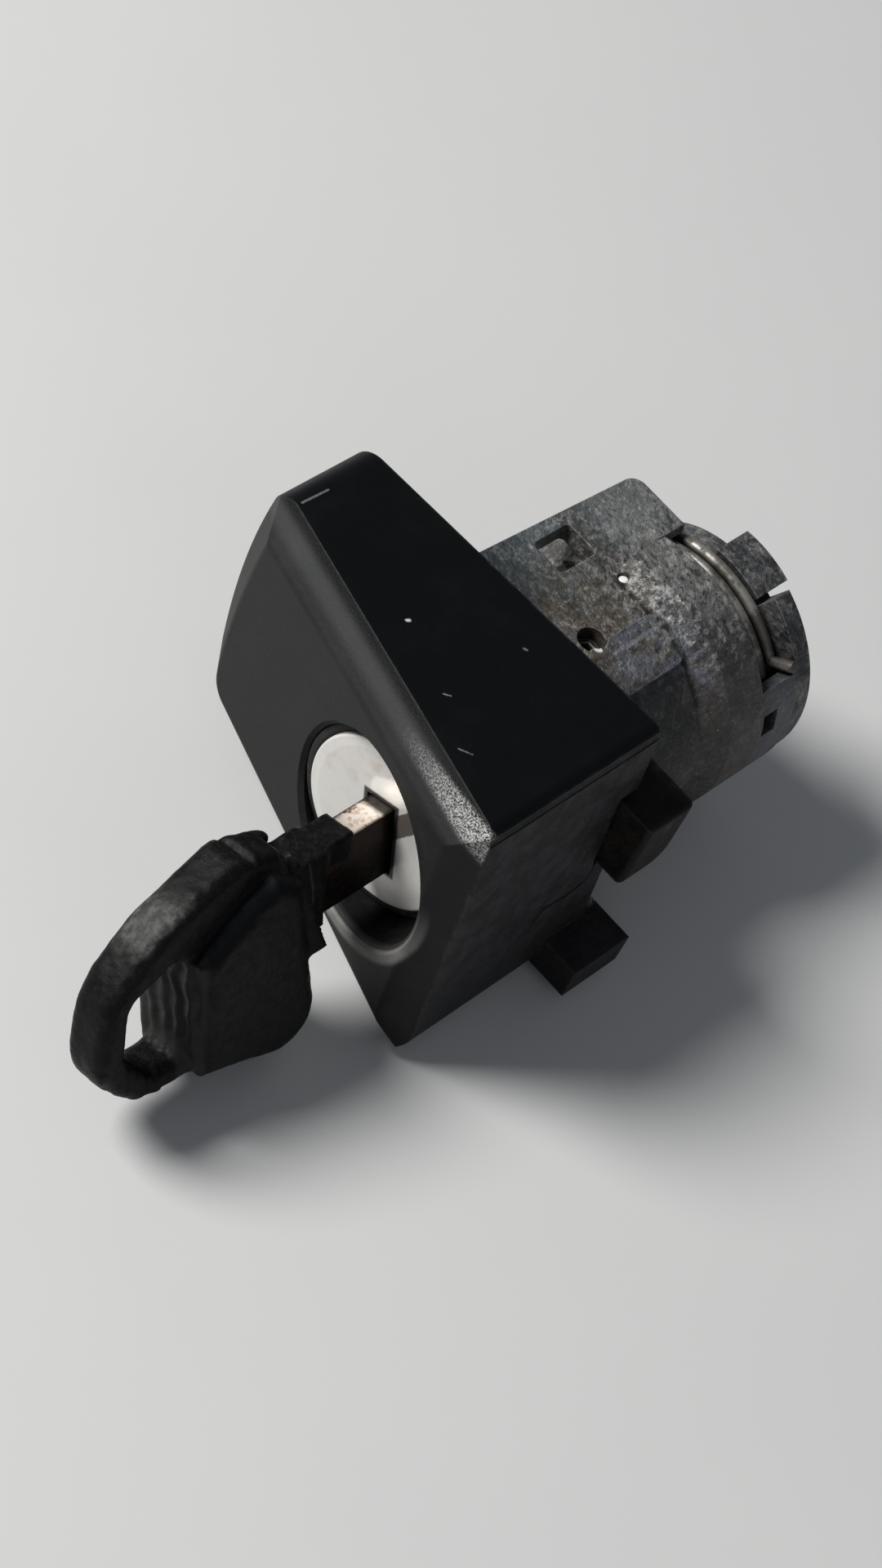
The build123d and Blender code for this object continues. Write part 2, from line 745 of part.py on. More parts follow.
head_corners = [head_crest, head_bow, head_far_top, head_far_low, head_heel, head_toe, head_notch]
with BuildSketch(beside_key()) as head_outline:
    with BuildLine():
        Polyline(
            head_point(head_collar),
            head_point(head_shoulder),
            *[head_point(corner) for corner in head_corners],
            close=True,
        )
    make_face()
    for corner, size in zip([head_shoulder, *head_corners[:6]], head_rounds):
        spot = Vector(*head_point(corner))
        fillet(head_outline.vertices().sort_by_distance(spot)[0], size)

with BuildPart() as head_loop:
    extrude(head_outline.sketch, amount=loop_thickness / 2, both=True)
    with BuildSketch(beside_key()) as loop_opening:
        with BuildLine():
            Polyline(
                head_point(opening_top),
                head_point(opening_far_top),
                head_point(opening_far_low),
                head_point(opening_heel),
                head_point(opening_low),
                close=True,
            )
        make_face()
        fillet(loop_opening.vertices(), opening_round)
    extrude(amount=loop_thickness, both=True, mode=Mode.SUBTRACT)
    loop_sides = head_loop.faces().filter_by(beside_key())
    fillet(loop_sides.edges(), radius=loop_edge_round)

with BuildPart() as head_body:
    with BuildSketch(beside_key()) as body_outline:
        with BuildLine():
            Polyline(
                head_point(body_neck),
                head_point(body_side),
                head_point(body_toe),
                head_point(body_heel),
                head_point((opening_top[0], opening_top[1] - loop_bar / 4)),
                head_point((head_crest[0], head_crest[1] - loop_bar)),
                head_point(body_top),
                close=True,
            )
        make_face()
        for corner, size in ((body_toe, body_toe_round), (body_heel, body_heel_round)):
            spot = Vector(*head_point(corner))
            fillet(body_outline.vertices().sort_by_distance(spot)[0], size)
    extrude(amount=head_thickness / 2, both=True)
    body_sides = head_body.faces().filter_by(beside_key())
    fillet(body_sides.edges(), radius=head_edge_round)

with BuildPart() as key_head:
    add(head_loop.part)
    add(head_body.part)
    with BuildSketch(beside_key()):
        with Locations(head_point((neck_side_start, neck_bottom))):
            Rectangle(
                head_shoulder[0] - neck_side_start,
                neck_top - neck_bottom,
                align=(Align.MAX, Align.MIN),
            )
    extrude(amount=neck_thickness / 2, both=True)
    with BuildSketch(beside_key()):
        with Locations(head_point((neck_start, tongue_low))):
            Rectangle(
                head_shoulder[0] - neck_start, neck_top - tongue_low, align=(Align.MAX, Align.MIN)
            )
    extrude(amount=tongue_thickness / 2, both=True)
    # A thin web beside the neck ends in a tab.
    with BuildSketch(beside_key(-neck_thickness / 2)):
        with BuildLine():
            Polyline(
                head_point(body_neck),
                head_point(tab_corner),
                head_point((head_shoulder[0], tab_corner[1])),
                head_point((head_shoulder[0], body_neck[1])),
                close=True,
            )
        make_face()
    extrude(amount=neck_thickness / 2 + tab_reach)
    # Torn dent across the shoulder
    with BuildSketch(beside_key()):
        with Locations(Location(Vector(*head_point(dent)), Vector(0, 0, 30))):
            Rectangle(dent_size, dent_size)
    extrude(amount=head_thickness, both=True, mode=Mode.SUBTRACT)
    add(key_blade.part, mode=Mode.SUBTRACT)
key_head.part.label = "key_head"
export_step(key_head.part, "parts/key_head.step")
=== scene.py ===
import bmesh
import bpy
import math
from mathutils import Matrix, Vector
from mathutils import noise as noise_maths


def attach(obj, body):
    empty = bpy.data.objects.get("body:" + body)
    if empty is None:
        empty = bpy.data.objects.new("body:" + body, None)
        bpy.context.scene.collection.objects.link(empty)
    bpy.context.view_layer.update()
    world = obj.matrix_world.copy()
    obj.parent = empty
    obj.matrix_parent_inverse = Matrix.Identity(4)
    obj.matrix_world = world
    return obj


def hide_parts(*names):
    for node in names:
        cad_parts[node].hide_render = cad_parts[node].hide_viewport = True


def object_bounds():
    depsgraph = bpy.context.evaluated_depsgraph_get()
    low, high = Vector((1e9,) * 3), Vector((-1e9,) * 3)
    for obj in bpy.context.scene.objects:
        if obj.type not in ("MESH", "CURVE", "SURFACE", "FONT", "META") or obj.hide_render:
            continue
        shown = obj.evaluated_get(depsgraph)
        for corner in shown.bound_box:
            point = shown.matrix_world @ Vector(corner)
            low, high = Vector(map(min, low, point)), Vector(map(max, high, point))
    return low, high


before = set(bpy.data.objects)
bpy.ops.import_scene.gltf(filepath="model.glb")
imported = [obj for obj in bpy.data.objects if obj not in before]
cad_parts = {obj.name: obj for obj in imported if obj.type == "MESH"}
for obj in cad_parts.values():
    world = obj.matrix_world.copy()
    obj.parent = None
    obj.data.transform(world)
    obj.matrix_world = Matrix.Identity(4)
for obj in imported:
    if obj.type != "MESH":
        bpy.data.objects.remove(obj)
cad_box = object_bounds()


# Cover cap
# The wedge-shaped cap round the lock's face: black plastic, moulded as one hollow piece that sits on the
# housing's nose. Its front is satin charcoal, its top side smooth and painted almost black as painted shade,
# its end wall mottled, with its crease and top groove painted dark as shade, and the crest between front and
# top has a painted sheen and is rubbed to speckled grey towards the thick end, partly wear and partly painted
# highlight.
# The hole's wall is painted black as shade, and its lip is painted lighter on its lower side as a highlight.
MM = 0.001
SHADED_EDGE = 0.18 * MM


class Nodes:
    """Adds nodes to one tree. A value is a plain number, vector or colour, or another node's socket."""

    def __init__(self, tree):
        self.tree = tree

    def put(self, socket, value):
        """Sets an input, or links it where the value is a socket."""
        if isinstance(value, bpy.types.NodeSocket):
            self.tree.links.new(value, socket)
        elif socket.type == "RGBA":
            socket.default_value = (*value, 1.0)
        else:
            socket.default_value = value

    def add(self, kind, **values):
        """Adds a node. A value goes to the property of that name, or else to the input of that name."""
        node = self.tree.nodes.new(kind)
        for name, value in values.items():
            if hasattr(node, name):
                setattr(node, name, value)
            else:
                self.put(node.inputs[name], value)
        return node

    def maths(self, operation, *values, clamp=False):
        node = self.add("ShaderNodeMath", operation=operation, use_clamp=clamp)
        for socket, value in zip(node.inputs, values):
            self.put(socket, value)
        return node.outputs[0]

    def times(self, first, *others):
        for other in others:
            first = self.maths("MULTIPLY", first, other)
        return first

    def more(self, start, mask, share):
        return self.maths("ADD", start, self.times(mask, share))

    def less(self, start, mask, share):
        return self.maths("SUBTRACT", start, self.times(mask, share))

    def ramp(self, value, low, high):
        """A smooth step from 0 at low to 1 at high. It falls where low is the larger number."""
        node = self.add("ShaderNodeMapRange", interpolation_type="SMOOTHSTEP")
        self.put(node.inputs["Value"], value)
        self.put(node.inputs["From Min"], low)
        self.put(node.inputs["From Max"], high)
        return node.outputs["Result"]

    def band(self, value, rise, fall):
        """1 between two smooth steps, each given as (low, high)."""
        return self.times(self.ramp(value, *rise), self.ramp(value, *fall))

    def mix(self, mask, below, above):
        node = self.add("ShaderNodeMix", data_type="RGBA")
        for number, value in ((0, mask), (6, below), (7, above)):
            self.put(node.inputs[number], value)
        return node.outputs[2]

    def vector_maths(self, operation, first, second):
        node = self.add("ShaderNodeVectorMath", operation=operation)
        self.put(node.inputs[0], first)
        self.put(node.inputs["Scale" if operation == "SCALE" else 1], second)
        return node.outputs["Value" if operation == "DOT_PRODUCT" else "Vector"]

    def noise(self, vector, scale, **values):
        return self.add("ShaderNodeTexNoise", Vector=vector, Scale=scale, **values).outputs[0]


class Effect(Nodes):
    """A shared effect: a node group that turns a place in millimetres into one mask or height.

    Its other inputs are given with their defaults. Three numbers make a vector input.
    """

    def __init__(self, name, output="Mask", **inputs):
        self.group = bpy.data.node_groups.new(name, "ShaderNodeTree")
        super().__init__(self.group)
        interface = self.group.interface
        interface.new_socket(name="Vector", in_out="INPUT", socket_type="NodeSocketVector")
        for socket, default in inputs.items():
            kind = "NodeSocketVector" if isinstance(default, tuple) else "NodeSocketFloat"
            interface.new_socket(name=socket, in_out="INPUT", socket_type=kind).default_value = default
        interface.new_socket(name=output, in_out="OUTPUT", socket_type="NodeSocketFloat")
        self.inputs = self.group.nodes.new("NodeGroupInput").outputs
        self.place = self.inputs["Vector"]
        self.result = self.group.nodes.new("NodeGroupOutput").inputs[0]

    def per(self, name, factor=1.0):
        """A factor divided by the input of that name: the scale of a pattern from its size."""
        return self.maths("DIVIDE", factor, self.inputs[name])

    def give(self, value, low=None, high=None):
        """Ends the group with a value, cut between two levels where they are given."""
        self.put(self.result, value if low is None else self.ramp(value, low, high))


class Finish(Nodes):
    """A material in the making, on object coordinates in millimetres. Each layer of colour is painted over
    the ones before it, and each bump stands on the ones before it."""

    def __init__(self, name, colour):
        self.material = bpy.data.materials.new(name)
        self.material.use_nodes = True
        super().__init__(self.material.node_tree)
        self.shader = self.tree.nodes["Principled BSDF"]
        self.place = self.vector_maths("SCALE", self.add("ShaderNodeTexCoord").outputs["Object"], 1 / MM)
        self.colour = colour
        self.normal = None

    def use(self, effect, **values):
        node = self.add("ShaderNodeGroup", node_tree=effect.group)
        for name, value in {"Vector": self.place, **values}.items():
            self.put(node.inputs[name], value)
        return node.outputs[0]

    def along(self, direction, offset=0.0):
        """How far the place lies along a direction, plus an offset, in millimetres."""
        return self.maths("ADD", self.vector_maths("DOT_PRODUCT", self.place, direction), offset)

    def from_axis(self):
        """The distance from the lock's axis in millimetres."""
        across = self.vector_maths("MULTIPLY", self.place, (1.0, 0.0, 1.0))
        return self.maths("SQRT", self.vector_maths("DOT_PRODUCT", across, across))

    def facing(self, direction):
        """1 where the surface faces the direction, and -1 where it faces away."""
        normal = self.add("ShaderNodeNewGeometry").outputs["Normal"]
        return self.vector_maths("DOT_PRODUCT", normal, direction)

    def layer(self, mask, colour, share=1.0):
        self.colour = self.mix(self.times(mask, share), self.colour, colour)

    def bump(self, height, strength, depth):
        """Adds a bump of a real depth in metres. The first one also rounds sharp edges in the shading."""
        if self.normal is None:
            self.normal = self.add("ShaderNodeBevel", samples=4, Radius=SHADED_EDGE).outputs[0]
        raised = {"Strength": strength, "Distance": depth, "Height": height, "Normal": self.normal}
        self.normal = self.add("ShaderNodeBump", **raised).outputs[0]
        self.put(self.shader.inputs["Normal"], self.normal)

    def surface(self, roughness, metallic=0.0, specular=0.5):
        """Gives the shader its colour and its gloss."""
        self.put(self.shader.inputs["Base Color"], self.colour)
        self.put(self.shader.inputs["Roughness"], roughness)
        self.put(self.shader.inputs["Metallic"], metallic)
        self.put(self.shader.inputs["Specular IOR Level"], specular)

    def paint(self, *names):
        """Gives the material to CAD nodes."""
        for name in names:
            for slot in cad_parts[name].material_slots:
                slot.material = self.material

    def dress(self, piece):
        """Gives the material to a new piece."""
        piece.data.materials.clear()
        piece.data.materials.append(self.material)


# Cloudy mask: a noise cut between two levels. Size is the size of a cloud in millimetres.
clouds = Effect("clouds", Size=3.0, Detail=5.0, Low=0.4, High=0.6)
cloud = clouds.noise(clouds.place, clouds.per("Size"), Detail=clouds.inputs["Detail"], Roughness=0.62)
clouds.give(cloud, clouds.inputs["Low"], clouds.inputs["High"])

# Edge wear: where a rounded normal leaves the true one, broken up by a noise.
edges = Effect("edges", Radius=0.0004, Breakup=1.2, Low=0.02, High=0.2)
rounded = edges.add("ShaderNodeBevel", samples=6, Radius=edges.inputs["Radius"]).outputs[0]
flat = edges.add("ShaderNodeNewGeometry").outputs["Normal"]
bend = edges.maths("SUBTRACT", 1.0, edges.vector_maths("DOT_PRODUCT", rounded, flat))
broken = edges.noise(edges.place, edges.per("Breakup"), Detail=6.0, Roughness=0.7)
bend = edges.times(bend, edges.ramp(broken, 0.3, 0.7))
edges.give(bend, edges.inputs["Low"], edges.inputs["High"])

# Moulded or cast grain: rounded cells with a finer noise over them, as a height.
grain = Effect("grain", output="Height", Size=0.5, Fine=0.4)
cells = grain.add("ShaderNodeTexVoronoi", feature="SMOOTH_F1", Vector=grain.place, Scale=grain.per("Size"))
finer = grain.noise(grain.place, grain.per("Size", 2.6), Detail=4.0)
grain.give(grain.more(cells.outputs["Distance"], finer, grain.inputs["Fine"]))

# Scratches: a noise drawn out along one direction and cut high, so that only thin streaks are left.
scratches = Effect("scratches", Turn=(0.0, 0.0, 0.0), Along=8.0, Across=0.12, Low=0.66, High=0.72)
turned = scratches.add("ShaderNodeVectorRotate", rotation_type="EULER_XYZ", Vector=scratches.place)
scratches.put(turned.inputs["Rotation"], scratches.inputs["Turn"])
thin = scratches.per("Across")
stretch = scratches.add("ShaderNodeCombineXYZ", X=scratches.per("Along"), Y=thin, Z=thin)
drawn = scratches.vector_maths("MULTIPLY", turned.outputs[0], stretch.outputs[0])
scratch = scratches.noise(drawn, 1.0, Detail=2.0)
scratches.give(scratch, scratches.inputs["Low"], scratches.inputs["High"])

# Specks: small round dots, in the cells of a Voronoi whose random colour is under a limit.
specks = Effect("specks", Spacing=3.0, Radius=0.1, Share=0.2)
cells = specks.add("ShaderNodeTexVoronoi", Vector=specks.place, Scale=specks.per("Spacing"))
chance = specks.add("ShaderNodeSeparateColor", Color=cells.outputs["Color"])
chosen = specks.maths("LESS_THAN", chance.outputs[0], specks.inputs["Share"])
reach = specks.maths("DIVIDE", specks.inputs["Radius"], specks.inputs["Spacing"])
inside = specks.maths("LESS_THAN", cells.outputs["Distance"], specks.times(reach, chance.outputs[1]))
specks.give(specks.times(inside, chosen))

# Mark: a stroke between two points in millimetres, with soft, slightly broken sides.
marks = Effect("marks", Start=(0.0, 0.0, 0.0), End=(1.0, 0.0, 0.0), Radius=0.2, Soft=0.1)
run = marks.vector_maths("SUBTRACT", marks.inputs["End"], marks.inputs["Start"])
here = marks.vector_maths("SUBTRACT", marks.place, marks.inputs["Start"])
run_square = marks.vector_maths("DOT_PRODUCT", run, run)
share = marks.maths("DIVIDE", marks.vector_maths("DOT_PRODUCT", here, run), run_square, clamp=True)
off = marks.vector_maths("SUBTRACT", here, marks.vector_maths("SCALE", run, share))
gap = marks.maths("SQRT", marks.vector_maths("DOT_PRODUCT", off, off))
gap = marks.more(gap, marks.inputs["Soft"], marks.noise(here, 2.5, Detail=3.0))
marks.give(gap, marks.maths("ADD", marks.inputs["Radius"], marks.inputs["Soft"]), marks.inputs["Radius"])

cap_charcoal = (0.0125, 0.0125, 0.0128)
cap_shade_black = (0.0016, 0.0020, 0.0024)
cap_crease_shade = (0.0008, 0.0008, 0.0009)
cap_worn_highlight_grey = (0.46, 0.46, 0.45)
cap_dust = (0.080, 0.080, 0.080)
cap_scratch = (0.16, 0.16, 0.158)
cap_front_plane = (0.291, 1.0, 0.0)
cap_front_offset = 18.7
cap_top_plane = (0.061, 0.0, -1.0)
cap_top_offset = 14.69
cap_end_plane = (1.0, 0.0, 0.094)
cap_thick_end = 14.0
cap_crease = (
    (12.9, -0.3, 0.1),
    (13.2, -0.6, -2.7),
    (13.3, -1.1, -3.9),
    (13.3, -3.1, -4.4),
    (13.3, -6.4, -4.1),
    (13.4, -7.2, -5.3),
)
cap_chips_and_edge_highlight = (
    ((-9.3, -9.7, 14.1), (-9.2, -9.5, 14.1), 0.16, 1.0),
    ((-1.5, -3.0, 14.6), (-1.3, -2.9, 14.6), 0.12, 0.25),
    ((-1.8, -12.6, 14.6), (-1.3, -12.2, 14.6), 0.05, 0.45),
    ((3.1, -15.6, 14.9), (4.2, -15.0, 14.9), 0.05, 0.4),
    # The last one is not a chip: it is a painted highlight along the edge between the top and the thin end.
    ((-23.9, -8.5, 13.2), (-23.8, -5.4, 13.2), 0.10, 0.30),
)

cap = Finish("cap_plastic_worn", cap_charcoal)
behind_front = cap.along(cap_front_plane, cap_front_offset)
under_top = cap.along(cap_top_plane, cap_top_offset)
past_crest = cap.maths("SUBTRACT", behind_front, under_top)
from_thick_end = cap.along((-1.0, 0.0, 0.0), cap_thick_end)
past_end = cap.along(cap_end_plane)
from_axis = cap.from_axis()
on_top = cap.times(cap.ramp(past_crest, 0.6, 2.2), cap.ramp(under_top, 1.6, 0.5))
end_wall = cap.ramp(past_end, 12.5, 12.8)
before_end = cap.ramp(past_end, 12.85, 12.6)
end_groove_shade = cap.times(end_wall, cap.band(under_top, (0.5, 0.9), (1.5, 1.1)))
hole_wall_shaded = cap.times(cap.ramp(from_axis, 9.62, 9.52), cap.ramp(behind_front, 0.4, 1.2))
# The lip round the hole is painted lighter on its lower side towards the thick end: a painted highlight.
lip_highlight = cap.ramp(cap.along((0.6, 0.0, -0.8)), 2.0, 8.0)
lip_highlight = cap.times(lip_highlight, cap.band(from_axis, (9.65, 9.85), (11.1, 10.5)))

# The crest's grey strip, part rubbed wear and part painted highlight, is wider at the thick end and fades
# away from it.
strip_rear = cap.less(3.4, from_thick_end, 0.16)
strip = cap.band(past_crest, (-1.6, -0.4), (strip_rear, cap.maths("SUBTRACT", strip_rear, 0.9)))
rub = cap.use(clouds, Size=0.16, Detail=3.0, Low=0.40, High=0.62)
crest_wear_and_highlight = cap.times(strip, before_end, cap.ramp(from_thick_end, 17.0, 4.0), rub)
crest_painted_sheen = cap.times(cap.band(past_crest, (-2.0, -0.3), (1.8, 0.4)), before_end)

edge_wear = cap.use(edges, Radius=0.0005, Breakup=0.8, Low=0.02, High=0.16)
dust = cap.use(clouds, Size=5.0, Detail=9.0, Low=0.45, High=0.75)
streaks = cap.use(scratches, Turn=(0.4, 0.7, 0.5), Along=6.0, Across=0.08, Low=0.72, High=0.75)
dots = cap.use(specks, Spacing=6.0, Radius=0.16, Share=0.12)
scuffs = cap.use(clouds, Size=2.2, Detail=9.0, Low=0.36, High=0.70)
scuffs = cap.times(scuffs, end_wall, cap.ramp(cap.along((0.0, 0.0, 1.0)), -16.0, 4.0))

# The top side is painted almost black, darker than the front: a painted shade.
cap.layer(on_top, cap_shade_black)
# The hole's wall is painted nearly black: painted shade inside the hole.
cap.layer(hole_wall_shaded, (0.0012, 0.0012, 0.0012))
cap.layer(dust, cap_dust, cap.less(0.12, on_top, 0.115))
cap.layer(lip_highlight, (0.20, 0.195, 0.185), cap.more(0.6, dust, 0.4))
cap.layer(scuffs, (0.070, 0.068, 0.075), 0.45)
# A dark line along the top of the end wall is painted shade in its groove.
cap.layer(end_groove_shade, cap_shade_black)
# A curved crease runs in the end wall, from the bush down towards the lug: bumped in, and painted dark as its
# shade.
creases = end_groove_shade
for start, end in zip(cap_crease, cap_crease[1:]):
    stroke = cap.use(marks, Start=start, End=end, Radius=0.16, Soft=0.25)
    cap.layer(stroke, cap_crease_shade, 0.9)
    creases = cap.maths("MAXIMUM", creases, stroke)
# A faint grey band along the crest is a painted sheen.
cap.layer(crest_painted_sheen, (0.10, 0.105, 0.11), 0.20)
cap.layer(streaks, cap_scratch, 0.12)
cap.layer(edge_wear, cap_scratch, 0.16)
cap.layer(crest_wear_and_highlight, cap_worn_highlight_grey, 0.85)
cap.layer(dots, (0.50, 0.50, 0.48), 0.75)
for start, end, radius, strength in cap_chips_and_edge_highlight:
    cap.layer(cap.use(marks, Start=start, End=end, Radius=radius, Soft=0.16), (0.40, 0.40, 0.39), strength)

cap_rough = cap.less(cap.more(0.52, dust, 0.10), on_top, 0.14)
cap_grain = cap.times(cap.use(grain, Size=0.32, Fine=0.5), cap.less(1.0, on_top, 0.8))
mottles = cap.times(cap.use(clouds, Size=2.2, Detail=4.0, Low=0.25, High=0.75), end_wall)
cap.bump(cap_grain, 0.35, 0.00004)
cap.bump(mottles, 0.6, 0.00022)
cap.bump(cap.maths("SUBTRACT", 1.0, creases), 1.0, 0.00035)
cap.bump(rub, 0.25, 0.00003)
cap.surface(roughness=cap.maths("MAXIMUM", cap_rough, hole_wall_shaded), specular=0.14)
cap.paint("cover_cap")


# Screw bush
# The moulded block that sits against the barrel behind the cap and takes its fixing screw: brown-black
# plastic with a dull surface, patches of old grime and a pale smear on its outer face.
bush = Finish("bush_plastic_grimy", (0.0048, 0.0043, 0.0040))
grime = bush.use(clouds, Size=1.6, Detail=8.0, Low=0.38, High=0.7)
edge_wear = bush.use(edges, Radius=0.0004, Breakup=0.5, Low=0.01, High=0.1)
smear = bush.use(marks, Start=(15.2, 1.2, 6.4), End=(15.9, 2.4, 5.6), Radius=0.25, Soft=0.5)
bush.layer(grime, (0.016, 0.0125, 0.010))
bush.layer(edge_wear, (0.10, 0.085, 0.072), 0.35)
bush.layer(smear, (0.16, 0.145, 0.12), 0.6)
bush.bump(bush.use(grain, Size=0.6, Fine=0.9), 0.5, 0.0001)
bush.surface(roughness=bush.more(0.48, grime, 0.25), specular=0.14)
bush.paint("screw_bush")


# Housing, driver and plug
# The lock's own body, the ring at its tail and its turning core, all die-cast zinc, dull and speckled. On
# the housing the fin is blue-grey and painted darker next to the cap as painted shade, the barrel behind the
# cap brown with grime, the pad has a bluish rub, and the collar is smoother, brownish on top and bluish
# towards its rear edge. The upper rear is painted paler as painted light and the lower side darker as painted
# shade, a pale patch under the fin's window is a painted highlight, and the screw hole's rim has a painted
# glint.

# Veins: thin crooked lines where a distorted noise passes its middle value.
veins = Effect("veins", Size=2.0, Width=0.012)
vein = veins.noise(veins.place, veins.per("Size"), Detail=4.0, Roughness=0.55, Distortion=0.8)
off_middle = veins.maths("ABSOLUTE", veins.maths("SUBTRACT", vein, 0.5))
veins.give(off_middle, veins.inputs["Width"], 0.0)

# Crevice darkening: ambient occlusion, broken up by a noise.
occlusion_darkening = Effect("occlusion_darkening", Reach=0.002, Low=0.35, High=0.9)
near = occlusion_darkening.add("ShaderNodeAmbientOcclusion", samples=8, Distance=occlusion_darkening.inputs["Reach"])
level = occlusion_darkening.more(near.outputs["AO"], occlusion_darkening.noise(occlusion_darkening.place, 0.9, Detail=5.0), 0.35)
occlusion_darkening.give(level, occlusion_darkening.inputs["High"], occlusion_darkening.inputs["Low"])

zinc_pale = (0.34, 0.33, 0.31)
pad_streak = ((2.3, 6.0, 12.1), (2.2, 13.4, 12.2))
hole_glint_stroke = ((1.15, 4.55, 12.38), (1.4, 4.9, 12.30))
quarter_turn = (0.0, 0.0, 1.5708)
collar_strokes = (
    ((0.5, 0.3, 0.9), (0.36, 0.355, 0.33), 0.5),
    ((0.1, 0.5, 0.4), (0.022, 0.021, 0.020), 0.7),
)


def housing_stains(zinc):
    """Paints the housing's regions, with painted light and shade. Returns masks of the grainy places, the
    painted window highlight and the painted glint.
    """
    x = zinc.along((1.0, 0.0, 0.0))
    y = zinc.along((0.0, 1.0, 0.0))
    z = zinc.along((0.0, 0.0, 1.0))
    on_fin = zinc.times(zinc.ramp(z, 11.4, 11.8), zinc.ramp(x, -4.0, -6.0))
    zinc.layer(on_fin, (0.115, 0.145, 0.160), 0.55)
    brown = zinc.times(zinc.ramp(y, 15.0, 11.0), zinc.ramp(zinc.along((-0.35, 0.0, 1.0)), 6.0, 11.5))
    brown = zinc.times(brown, zinc.ramp(zinc.along((1.0, 0.25, 0.0)), -9.5, -4.5))
    brown = zinc.times(brown, zinc.use(clouds, Size=2.0, Detail=9.0, Low=0.30, High=0.58))
    zinc.layer(brown, (0.080, 0.062, 0.040), 0.72)
    # The upper rear is painted paler where the light falls on it: painted light.
    upper_rear_lit = zinc.times(zinc.ramp(y, 14.5, 16.5), zinc.ramp(zinc.along((-0.3, 0.0, 1.0)), 9.5, 12.0))
    zinc.layer(upper_rear_lit, (0.20, 0.198, 0.185), 0.45)
    taper = zinc.band(y, (12.0, 13.0), (15.6, 14.6))
    zinc.layer(taper, (0.060, 0.054, 0.048), 0.6)
    # The lower side is painted darker as painted shade, and darker still towards the face.
    lower_side_shade = zinc.ramp(zinc.along((0.75, 0.0, -0.6)), -4.0, -1.2)
    zinc.layer(lower_side_shade, (0.070, 0.064, 0.060), 0.80)
    zinc.layer(zinc.times(lower_side_shade, zinc.ramp(y, 13.0, 9.0)), (0.026, 0.028, 0.030), 0.7)
    rear = zinc.times(zinc.ramp(y, 18.0, 22.5), zinc.ramp(x, 5.0, 12.0))
    zinc.layer(rear, (0.115, 0.126, 0.148), 0.7)
    wipes = zinc.use(scratches, Turn=quarter_turn, Along=4.0, Across=0.8, Low=0.38, High=0.58)
    pad = zinc.ramp(zinc.along((0.37, 0.0, 0.93)), 11.6, 11.9)
    pad = zinc.times(pad, zinc.band(y, (4.0, 7.0), (16.0, 12.5)))
    zinc.layer(zinc.times(pad, wipes), (0.145, 0.160, 0.200), 0.6)
    groove = zinc.band(y, (11.8, 12.1), (12.7, 12.4))
    groove = zinc.times(groove, zinc.ramp(zinc.along((0.2, 0.0, 1.0)), 8.0, 10.5))
    zinc.layer(groove, (0.020, 0.019, 0.018), 0.75)
    upper_collar = zinc.times(
        zinc.ramp(zinc.along((0.0, 1.0, 0.45)), 12.0, 18.0),
        zinc.ramp(zinc.along((-0.5, 0.0, 1.0)), 3.0, 9.0),
        zinc.ramp(x, -9.0, -5.5),
    )
    for turn, shade, strength in collar_strokes:
        strokes = zinc.use(scratches, Turn=turn, Along=6.0, Across=0.8, Low=0.56, High=0.63)
        zinc.layer(zinc.times(strokes, upper_collar), shade, strength)
    # The fin is painted darker next to the cap: painted shade.
    fin_shade_near_cap = zinc.times(on_fin, zinc.ramp(y, 9.0, 4.0))
    zinc.layer(fin_shade_near_cap, (0.026, 0.029, 0.032), 0.8)
    crumbs = zinc.use(clouds, Size=0.5, Detail=2.0, Low=0.66, High=0.72)
    zinc.layer(zinc.times(crumbs, zinc.ramp(y, 9.0, 13.0)), zinc_pale, 0.5)
    streak = zinc.use(marks, Start=pad_streak[0], End=pad_streak[1], Radius=0.14, Soft=0.5)
    zinc.layer(streak, (0.34, 0.36, 0.40), 0.6)
    grainy = zinc.times(zinc.less(1.0, lower_side_shade, 0.75), zinc.less(1.0, fin_shade_near_cap, 0.7))
    # The barrel's flank under the fin's window is painted pale as a painted highlight, for the light seen
    # through the window, and the screw hole's rim has a painted glint.
    window_light_patch = zinc.times(zinc.band(y, (7.8, 9.2), (13.4, 12.2)), zinc.band(z, (4.0, 8.5), (9.7, 9.2)))
    window_light_patch = zinc.times(window_light_patch, zinc.ramp(x, -6.2, -6.8))
    patch_breakup = zinc.use(clouds, Size=3.0, Detail=8.0, Low=0.36, High=0.50)
    window_light_patch = zinc.ramp(zinc.times(window_light_patch, zinc.maths("ADD", window_light_patch, patch_breakup)), 0.35, 0.9)
    # The bright mark on the screw hole's rim is a painted glint.
    hole_glint = zinc.use(marks, Start=hole_glint_stroke[0], End=hole_glint_stroke[1], Radius=0.20, Soft=0.10)
    return grainy, window_light_patch, hole_glint


